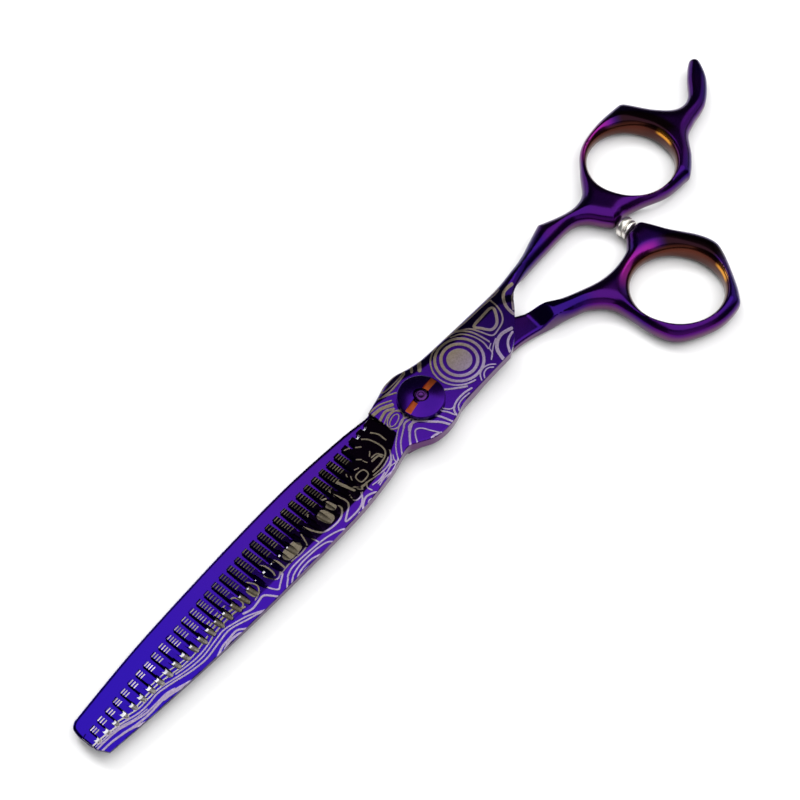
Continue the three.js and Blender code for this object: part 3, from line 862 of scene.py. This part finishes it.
# ---- Materials ----
class Shader:
    """A material's node tree, with short calls for the nodes used here."""

    def __init__(self, name):
        self.material = bpy.data.materials.new(name)
        self.material.use_nodes = True
        self.tree = self.material.node_tree
        self.surface = self.tree.nodes["Principled BSDF"].inputs

    def node(self, kind, inputs=None, **settings):
        made = self.tree.nodes.new(kind)
        for key, value in settings.items():
            setattr(made, key, value)
        for key, value in (inputs or {}).items():
            self.feed(made.inputs[key], value)
        return made

    def feed(self, socket, value):
        if hasattr(value, "is_output"):
            self.tree.links.new(value, socket)
        else:
            socket.default_value = value

    def math(self, operation, first, second=0.0, third=0.0):
        return self.node("ShaderNodeMath", {0: first, 1: second, 2: third}, operation=operation).outputs[0]

    def place(self, axis):
        spot = self.node("ShaderNodeTexCoord").outputs["Object"]
        return self.node("ShaderNodeSeparateXYZ", {0: spot}).outputs[axis]

    def spread(self, value, low, high, to_low=0.0, to_high=1.0):
        ranges = {"From Min": low, "From Max": high, "To Min": to_low, "To Max": to_high}
        made = self.node("ShaderNodeMapRange", {"Value": value, **ranges}, interpolation_type="SMOOTHSTEP")
        return made.outputs["Result"]

    def noise(self, scale, detail=2.0, stretch=(1, 1, 1)):
        place = self.node("ShaderNodeTexCoord").outputs["Object"]
        mapping = self.node("ShaderNodeMapping", {"Vector": place, "Scale": stretch})
        settings = {"Vector": mapping.outputs[0], "Scale": scale, "Detail": detail}
        return self.node("ShaderNodeTexNoise", settings).outputs["Fac"]

    def blend(self, share, first, second):
        made = self.node("ShaderNodeMix", data_type="RGBA")
        self.feed(made.inputs[0], share)
        self.feed(made.inputs[6], first)
        self.feed(made.inputs[7], second)
        return made.outputs[2]

    def ramp(self, value, stops):
        made = self.node("ShaderNodeValToRGB", {"Fac": value})
        elements = made.color_ramp.elements
        while len(elements) < len(stops):
            elements.new(0.5)
        for element, (position, colour) in zip(elements, stops):
            element.position = position
            element.color = colour
        return made.outputs["Color"]

    def mottle(self, pattern, dark, light, low=0.3):
        """Two colours, mixed by a noise pattern."""
        return self.ramp(pattern, [(low, dark), (1 - low, light)])

    def attribute(self, name):
        return self.node("ShaderNodeAttribute", attribute_name=name).outputs["Fac"]

    def finish(self, colour, rough, normal, metallic=1.0):
        self.surface["Metallic"].default_value = metallic
        self.feed(self.surface["Base Color"], colour)
        self.feed(self.surface["Roughness"], rough)
        self.feed(self.surface["Normal"], normal)
        return self.material


def rgb(red, green, blue):
    return (red, green, blue, 1.0)


def coat_colour(shader, face, flank, wall, under):
    """The oxide coat's colour turns from blue to violet and mauve as the surface tips; how bright it is by
    facing is partly painted light and shade.
    """
    normal = shader.node("ShaderNodeTexCoord").outputs["Normal"]
    up = shader.node("ShaderNodeSeparateXYZ", {0: normal}).outputs["Z"]
    waver = shader.math("MULTIPLY_ADD", shader.noise(180, 3), 0.08, -0.04)
    tipped = shader.math("ADD", shader.spread(up, -1, 1), waver)
    tipped.node.use_clamp = True
    return shader.ramp(tipped, [(0.1, under), (0.5, wall), (0.78, flank), (0.97, face)])


def add_scratches(shader, roughness, amount=0.05, strength=0.06):
    """Fine polishing marks in the roughness and the bump."""
    fine = shader.noise(900, 2, (0.25, 3, 1))
    broad = shader.noise(60, 3)
    rough = shader.math("MULTIPLY_ADD", fine, amount, roughness - amount / 2)
    rough = shader.math("MULTIPLY_ADD", broad, amount, rough)
    bump = shader.node("ShaderNodeBump", {"Strength": strength, "Distance": 0.00001, "Height": fine})
    return rough, bump.outputs["Normal"]


# The coat's colours where the surface faces up, slopes, stands upright and faces down; on the handles the
# tops are painted darker as painted shade and the slopes lighter as painted highlight
TIP_COLOURS = (rgb(0.0105, 0.003, 0.145), rgb(0.014, 0.003, 0.09), rgb(0.03, 0.015, 0.06),
               rgb(0.03, 0.01, 0.06))
MIDDLE_COLOURS = (rgb(0.023, 0.0035, 0.11), rgb(0.02, 0.003, 0.07), rgb(0.1, 0.02, 0.12),
                  rgb(0.03, 0.01, 0.06))
# Painted shade and highlight: these handle sets give the up-facing tops a darker colour than the slopes.
PURPLE = (rgb(0.026, 0.003, 0.065), rgb(0.07, 0.005, 0.13), rgb(0.11, 0.035, 0.1), rgb(0.05, 0.015, 0.06))
INDIGO = (rgb(0.012, 0.003, 0.07), rgb(0.026, 0.004, 0.12), rgb(0.08, 0.03, 0.1), rgb(0.04, 0.015, 0.06))


def oxide_coat(shader, along):
    """Blue blade tips, a violet-blue middle, and handles that wander from purple to indigo."""
    tip, middle, purple, indigo = [
        coat_colour(shader, *colours) for colours in (TIP_COLOURS, MIDDLE_COLOURS, PURPLE, INDIGO)
    ]
    handle = shader.blend(shader.spread(shader.noise(75, 1), 0.38, 0.62), purple, indigo)
    blade = shader.blend(shader.spread(along, -0.095, -0.02), tip, middle)
    return shader.blend(shader.spread(along, 0.008, 0.042), blade, handle)


def ring_tints(shader, coat):
    """A ring's bevel with a painted magenta highlight and a painted dark shade, each on its own side, and its
    bronze wall with a painted gold glint.
    """
    magenta = shader.mottle(shader.noise(90, 2), rgb(0.1, 0.006, 0.12), rgb(0.19, 0.01, 0.11))
    bronze = shader.mottle(shader.noise(70, 2), rgb(0.05, 0.014, 0.01), rgb(0.1, 0.026, 0.015))
    # Painted highlight: a brighter magenta on the bevel's lit side.
    coat = shader.blend(shader.attribute("painted_bevel_highlight"), coat, magenta)
    # Painted shade: the bevel turns near black on its shaded side.
    coat = shader.blend(shader.attribute("painted_bevel_shade"), coat, rgb(0.009, 0.003, 0.005))
    # Painted glint: a bright gold band along the top of the wall, on one side.
    bronze = shader.blend(shader.attribute("painted_glint"), bronze, rgb(0.75, 0.32, 0.04))
    return shader.blend(shader.attribute("ring_wall"), coat, bronze)


def etched_steel(shader, grain, along):
    """The etched lines' bare steel, in painted lit and shaded copies: a lit lilac at the back edge and the
    tip, darker grey and olive elsewhere, and in the hollow a lit whitish grey near the tip and a darker olive
    further back.
    """
    across = shader.place("Y")
    half = 0.35
    # Painted light and shade: lilac is the lit copy; grey and olive are darker shaded copies.
    lilac = shader.mottle(grain, rgb(0.21, 0.17, 0.25), rgb(0.29, 0.24, 0.34), half)
    grey = shader.mottle(grain, rgb(0.14, 0.11, 0.15), rgb(0.19, 0.15, 0.21), half)
    olive = shader.mottle(grain, rgb(0.13, 0.105, 0.075), rgb(0.17, 0.14, 0.1), half)
    shaded_hollow_olive = shader.mottle(grain, rgb(0.18, 0.155, 0.11), rgb(0.26, 0.22, 0.16), half)
    # Painted light: the hollow's steel is lit and whitish near the tip.
    lit_pale = shader.mottle(grain, rgb(0.36, 0.33, 0.32), rgb(0.5, 0.47, 0.46), half)
    hollow_steel = shader.blend(shader.spread(along, -0.09, -0.06), lit_pale, shaded_hollow_olive)
    steel = shader.blend(shader.spread(across, -0.004, 0.004), grey, olive)
    from_edge = shader.spread(across, -0.007, -0.001)
    steel = shader.blend(shader.math("MULTIPLY", from_edge, shader.spread(along, -0.03, -0.01)), lilac, steel)
    steel = shader.blend(shader.spread(along, -0.085, -0.06), lilac, steel)
    return shader.blend(shader.attribute("hollow"), steel, hollow_steel)


def coated_steel(name, etched=False):
    shader = Shader(name)
    along = shader.place("X")
    coat = ring_tints(shader, oxide_coat(shader, along))
    rough, normal = add_scratches(shader, 0.02)
    rough = shader.math("ADD", rough, shader.spread(along, 0.02, 0.05, 0.1, 0.17))
    if etched:
        line = shader.spread(shader.attribute("etch"), 0.05, -0.05)
        grain = shader.noise(2500, 3)
        # Painted shade: the hollow grind darkens to near black from the middle of the blade back to the pivot
        # area.
        hollow_shade_share = shader.spread(along, -0.06, -0.03, 0, 0.85)
        painted_hollow_shade = shader.math("MULTIPLY", shader.attribute("hollow"), hollow_shade_share)
        coat = shader.blend(painted_hollow_shade, coat, rgb(0.018, 0.007, 0.012))
        coat = shader.blend(line, coat, etched_steel(shader, grain, along))
        rough = shader.math("MULTIPLY_ADD", line, 0.3, rough)
        depth = shader.math("SUBTRACT", shader.math("MULTIPLY", grain, 0.15), line)
        bump = shader.node("ShaderNodeBump", {"Strength": 0.5, "Distance": 0.00003, "Height": depth})
        shader.feed(bump.inputs["Normal"], normal)
        normal = bump.outputs["Normal"]
    return shader.finish(coat, rough, normal)


def plain_metal(name, dark, light, roughness, grain=400, amount=0.08):
    """Bare or plated metal with a mottled colour and fine marks."""
    shader = Shader(name)
    colour = shader.mottle(shader.noise(grain, 3), dark, light)
    return shader.finish(colour, *add_scratches(shader, roughness, amount))


def groove_steel(name):
    """The grooves' bare steel: light near the tip and darker olive further back, as painted light and shade
    along the blade.
    """
    shader = Shader(name)
    mottling = shader.noise(400, 3)
    lit_groove = shader.mottle(mottling, rgb(0.4, 0.37, 0.38), rgb(0.7, 0.66, 0.68))
    olive = shader.mottle(mottling, rgb(0.12, 0.11, 0.085), rgb(0.3, 0.28, 0.22))
    # Painted light and shade: the light copy near the tip, the darker olive copy from the middle of the blade
    # back.
    colour = shader.blend(shader.spread(shader.place("X"), -0.085, -0.055), lit_groove, olive)
    return shader.finish(colour, *add_scratches(shader, 0.3, 0.08))


def nylon(name):
    shader = Shader(name)
    colour = shader.mottle(shader.noise(500, 3), rgb(0.02, 0.02, 0.022), rgb(0.045, 0.045, 0.05))
    return shader.finish(colour, *add_scratches(shader, 0.5, 0.1), metallic=0.0)


COMB_COAT = coated_steel("comb_blade_coat", etched=True)
PLAIN_COAT = coated_steel("plain_blade_coat")
CUT_STEEL = groove_steel("ground_groove")
DIAL_COAT = plain_metal("dial_coat", rgb(0.018, 0.003, 0.09), rgb(0.03, 0.004, 0.125), 0.19, 150)
COPPER = plain_metal("dial_slot_copper", rgb(0.13, 0.022, 0.008), rgb(0.24, 0.048, 0.012), 0.35, 300)
BOLT_COAT = plain_metal("bolt_coat", rgb(0.03, 0.008, 0.07), rgb(0.06, 0.015, 0.09), 0.22, 200)
BARE_STEEL = plain_metal("bare_steel", rgb(0.3, 0.3, 0.32), rgb(0.5, 0.5, 0.53), 0.25, 900)
SPRING_STEEL = plain_metal("spring_steel", rgb(0.4, 0.4, 0.42), rgb(0.5, 0.5, 0.52), 0.25)
BUMPER_METAL = plain_metal("bumper_metal", rgb(0.66, 0.63, 0.58), rgb(0.8, 0.77, 0.72), 0.3, 300)
BRONZE = plain_metal("bush_bronze", rgb(0.42, 0.22, 0.08), rgb(0.52, 0.3, 0.12), 0.3)
NYLON = nylon("washer_nylon")


def store(piece, name, values):
    """Stores a value for each point, which the materials read."""
    attribute = piece.data.attributes.new(name, "FLOAT", "POINT")
    attribute.data.foreach_set("value", np.asarray(values, np.float32))


def places(piece):
    """Each point's place, in millimetres."""
    flat = np.empty(len(piece.data.vertices) * 3, np.float32)
    piece.data.vertices.foreach_get("co", flat)
    return flat.reshape(-1, 3).astype(float) / MM


def facing_up(piece):
    """The upward part of each point's normal."""
    flat = np.empty(len(piece.data.vertices) * 3, np.float32)
    piece.data.vertex_normals.foreach_get("vector", flat)
    return flat.reshape(-1, 3)[:, 2]


# ---- Pieces ----
COMB_BORE_RADIUS = 3.55  # around the bush
PLAIN_BORE_RADIUS = 3.05  # around the bolt's neck


def bolt_bore(radius):
    """A cutter for the hole that the bolt passes through, longer than the blades are thick."""
    low, length = -1, 10
    return prism(circle(radius, low, 48)[::-1], (0, 0, length))


def tint_ring(piece, hole, glint):
    """Marks the hole's bronze wall, the painted gold glint on it, and the bevel's painted dark shade and
    painted magenta highlight.
    """
    x, y, z = places(piece).T
    gap, dx, dy = hole_place(x, y, hole)
    near_hole = gap < 6
    reach = np.maximum(np.hypot(dx, dy), 0.1)
    store(piece, "ring_wall", smoothstep(1.0, 0.35, gap) * near_hole)
    # Painted shade on the +X side of the bevel.
    bevel_shade_side = smoothstep(0.72, 0.9, (0.93 * dx + 0.36 * dy) / reach)
    store(piece, "painted_bevel_shade", smoothstep(4.4, 3.2, gap) * bevel_shade_side * near_hole)
    # Painted glint on the wall's top edge, towards the given direction.
    painted_glint_side = smoothstep(0.96, 0.995, (glint[0] * dx + glint[1] * dy) / reach)
    store(piece, "painted_glint", painted_glint_side * smoothstep(4.3, 5.0, z) * smoothstep(1.6, 0.9, gap) * near_hole)
    # Painted highlight on the +Y side of the bevel.
    bevel_highlight_side = smoothstep(0.72, 0.97, (0.98 * dy - 0.1 * dx) / reach)
    store(piece, "painted_bevel_highlight", smoothstep(3.4, 1.6, gap) * bevel_highlight_side * near_hole)


ETCHED_TO_X = 38  # back end of the pattern, on the finger shank


def refine_outer_face(piece):
    """Halves the mesh's spacing on the etched face, so that the pattern's thin lines stay sharp."""
    shell = bmesh.new()
    shell.from_mesh(piece.data)
    end = ETCHED_TO_X * MM
    etched = [face for face in shell.faces if face.normal.z > 0.5 and face.calc_center_median().x < end]
    edges = {edge for face in etched for edge in face.edges}
    bmesh.ops.subdivide_edges(shell, edges=list(edges), cuts=1, use_grid_fill=True)
    shell.to_mesh(piece.data)
    shell.free()


def comb_blade():
    """The forging, with the slots, flutes and grooves cut into it and the pattern on its face."""
    piece = new_piece("comb_blade_forging", *contour_surface(CombForging, GRID_STEP), COMB_COAT)
    refine_outer_face(piece)
    cut(piece, slot_flutes())
    cut(piece, tooth_slots())
    cut(piece, root_flats(), BARE_STEEL)
    cut(piece, tooth_grooves(), CUT_STEEL)
    cut(piece, [bolt_bore(COMB_BORE_RADIUS)])
    smooth(piece.data)
    x, y, z = places(piece).T
    outer_face = smoothstep(0.3, 0.6, facing_up(piece)) * smoothstep(4.0, 4.15, z) * (x < ETCHED_TO_X)
    clear_of_lines = 0.5
    store(piece, "etch", mix(clear_of_lines, etch_distance(x, y), outer_face))
    border = hollow_border_y(x)
    store(piece, "hollow", smoothstep(border - 0.2, border + 0.6, y) * (x < BLADE_START_X))
    tint_ring(piece, FINGER_HOLE, (0.98, -0.2))
    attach(piece, "comb_member")
    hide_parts("comb_blade")


def plain_blade():
    """The forging with its bolt hole."""
    piece = new_piece("plain_blade_forging", *contour_surface(PlainForging, GRID_STEP), PLAIN_COAT)
    cut(piece, [bolt_bore(PLAIN_BORE_RADIUS)])
    smooth(piece.data)
    tint_ring(piece, THUMB_HOLE, (0.86, -0.51))
    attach(piece, "plain_member")
    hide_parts("plain_blade")


DIAL_SLOT_ANGLE = math.radians(5.5)


def turned_box(low, high, angle):
    """A box between two corners, turned about Z."""
    corners = []
    for x, y in ((low[0], low[1]), (high[0], low[1]), (high[0], high[1]), (low[0], high[1])):
        turned_x = x * math.cos(angle) - y * math.sin(angle)
        corners.append((turned_x, x * math.sin(angle) + y * math.cos(angle), low[2]))
    return prism(corners, (0, 0, high[2] - low[2]))


def tension_dial():
    """A domed nut with a coin slot and a lip around the bolt's end, hollow underneath for the spring."""
    radius = DIAL_HIGH[0]
    bottom, top = DIAL_LOW[2], DIAL_HIGH[2]
    bore, spring_seat, seat_depth, chamfer = 2.02, 4.25, 0.85, 0.15
    profile = [(bore, bottom + seat_depth), (spring_seat, bottom + seat_depth), (spring_seat, bottom),
               (radius - chamfer, bottom), (radius, bottom + chamfer), (radius, top - 1.05),
               (radius - 0.12, top - 0.92)]
    crown = [(radius * share, top - 0.95 * share**2) for share in np.linspace(0.94, 0.33, 12)]
    lip = 1.74
    profile += crown + [(lip, top - 0.15), (lip, top - 0.6), (bore, top - 0.65)]
    piece = new_piece("tension_dial_turned", *lathe(profile), DIAL_COAT)
    reach, half_width, depth = 7, 0.75, 0.85
    slot = turned_box((-reach, -half_width, top - depth), (reach, half_width, top + 1), DIAL_SLOT_ANGLE)
    cut(piece, [slot], COPPER)
    smooth(piece.data)
    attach(piece, "dial")
    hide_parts("tension_dial")


def pivot_bolt():
    """From the head underneath, through the neck, journal and thread, to the rounded end."""
    top = BOLT_TOP
    profile = [(0, 0), (4.4, 0), (4.8, 0.25), (4.8, 0.9), (2.8, 0.9), (2.8, 3.3), (2.2, 3.5), (2.2, 6.5),
               (1.8, 6.7), (1.8, top - 0.9), (1.5, top - 0.75), (1.5, top - 0.3), (1.3, top - 0.08),
               (1.0, top - 0.02), (0.75, top - 0.04), (0.6, top - 0.25), (0, top - 0.35)]
    piece = new_piece("pivot_bolt_turned", *lathe(profile), BOLT_COAT)
    smooth(piece.data, 40)
    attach(piece, "plain_member")
    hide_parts("pivot_bolt")


def bumper():
    """The silver stop on the thumb ring: a narrow bead, a groove and a wide domed bead."""
    radius = (BUMPER_HIGH[0] - BUMPER_LOW[0]) / 2
    centre_x = (BUMPER_HIGH[0] + BUMPER_LOW[0]) / 2
    centre_z = (BUMPER_HIGH[2] + BUMPER_LOW[2]) / 2
    length = BUMPER_HIGH[1] - BUMPER_LOW[1]
    groove = radius - 0.4
    steps = 8
    profile = [(0, 0)]
    for step in range(steps + 1):
        angle = math.pi * step / steps
        profile.append((groove + 0.3 * math.sin(angle), length * 0.16 * (1 - math.cos(angle))))
    for step in range(steps + 1):
        angle = math.pi / 2 * step / steps
        profile.append((groove + 0.38 * math.sin(angle), length * (0.34 + 0.18 * (1 - math.cos(angle)))))
    for step in range(1, steps):
        angle = math.pi / 2 * step / steps
        profile.append(((radius - 0.02) * math.cos(angle) ** 0.6, length * (0.6 + 0.4 * math.sin(angle))))
    profile.append((0, length))
    points, faces = lathe(profile, 64)
    placed = [(centre_x + x, BUMPER_LOW[1] + z, centre_z - y) for x, y, z in points]
    piece = new_piece("bumper_turned", placed, faces, BUMPER_METAL)
    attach(piece, "plain_member")
    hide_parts("bumper")


def carried_over_nodes():
    """The small hidden pieces keep their CAD shapes and get materials."""
    for node, material in (
        ("click_spring", SPRING_STEEL),
        ("thrust_washer", NYLON),
        ("dial_washer", NYLON),
        ("pivot_bush", BRONZE),
        ("bumper_stud", SPRING_STEEL),
    ):
        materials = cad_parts[node].data.materials
        materials.clear()
        materials.append(material)


# ---- Studio ----
VIEW_LEAN = math.radians(60)  # the camera looks down by this much
VIEW_TURN = math.radians(40)  # and along this direction from +X
VIEW_DISTANCE = 0.5568
VIEW_CENTRE = Vector((-0.00018, 0.00585, 0.0))


def camera():
    data = bpy.data.cameras.new("camera")
    data.lens = 112.5
    data.sensor_width = 36
    data.clip_start = 0.01
    seen = add_object("camera", data)
    look = Vector((
        math.cos(VIEW_LEAN) * math.cos(VIEW_TURN),
        math.cos(VIEW_LEAN) * math.sin(VIEW_TURN),
        -math.sin(VIEW_LEAN),
    ))
    seen.location = VIEW_CENTRE - look * VIEW_DISTANCE
    seen.rotation_euler = look.to_track_quat("-Z", "Y").to_euler()
    bpy.context.scene.camera = seen


def studio_point(right, away, height):
    """A place in the studio, by the photographer's right, away and up, in metres."""
    return Vector((
        right * math.sin(VIEW_TURN) + away * math.cos(VIEW_TURN),
        -right * math.cos(VIEW_TURN) + away * math.sin(VIEW_TURN),
        height,
    ))


def soft_box(name, place, size, power):
    """An area light, invisible to the camera, that faces the middle of the table."""
    data = bpy.data.lights.new(name, "AREA")
    data.shape = "RECTANGLE"
    data.size, data.size_y = size
    data.energy = power
    light = add_object(name, data)
    light.location = place
    light.rotation_euler = (-place).to_track_quat("-Z", "Y").to_euler()
    light.visible_camera = False
    return light


def floor():
    half = 3.0
    corners = [(-half, -half, 0), (half, -half, 0), (half, half, 0), (-half, half, 0)]
    mesh = bpy.data.meshes.new("floor")
    mesh.from_pydata(corners, [], [(0, 1, 2, 3)])
    sheet = add_object("floor", mesh)
    sheet.location.z = -0.0001  # just clear of the shears' lowest faces
    shader = Shader("floor_paper")
    colour = shader.mottle(shader.noise(3, 2), rgb(0.76, 0.76, 0.765), rgb(0.79, 0.79, 0.79))
    shader.feed(shader.surface["Base Color"], colour)
    shader.surface["Roughness"].default_value = 0.9
    shader.surface["Specular IOR Level"].default_value = 0.1
    mesh.materials.append(shader.material)


def lights():
    """A softbox overhead, three panels around the table and a key light that casts the shadow."""
    above = soft_box("overhead_softbox", studio_point(0.25, -0.065, 0.8), (1.1, 1.09), 11.5)
    above.rotation_euler = (0, 0, VIEW_TURN - math.pi / 2)
    soft_box("front_panel", studio_point(0.25, -1.0, 0.42), (1.6, 0.8), 3.2)
    soft_box("right_panel", studio_point(0.95, 0.45, 0.6), (0.9, 0.9), 3.4)
    soft_box("left_panel", studio_point(-0.8, 0.55, 0.24), (0.9, 0.42), 2.4)
    key = soft_box("key", studio_point(-0.5, 0.6, 0.95), (0.5, 0.5), 7.5)
    key.visible_glossy = False


def surroundings():
    world = bpy.data.worlds.new("studio")
    bpy.context.scene.world = world
    world.use_nodes = True
    background = world.node_tree.nodes["Background"]
    background.inputs["Color"].default_value = rgb(0.5, 0.5, 0.5)
    background.inputs["Strength"].default_value = 0.12


comb_blade()
plain_blade()
tension_dial()
pivot_bolt()
bumper()
carried_over_nodes()
floor()
lights()
surroundings()
camera()
bpy.context.scene.view_settings.view_transform = "Standard"
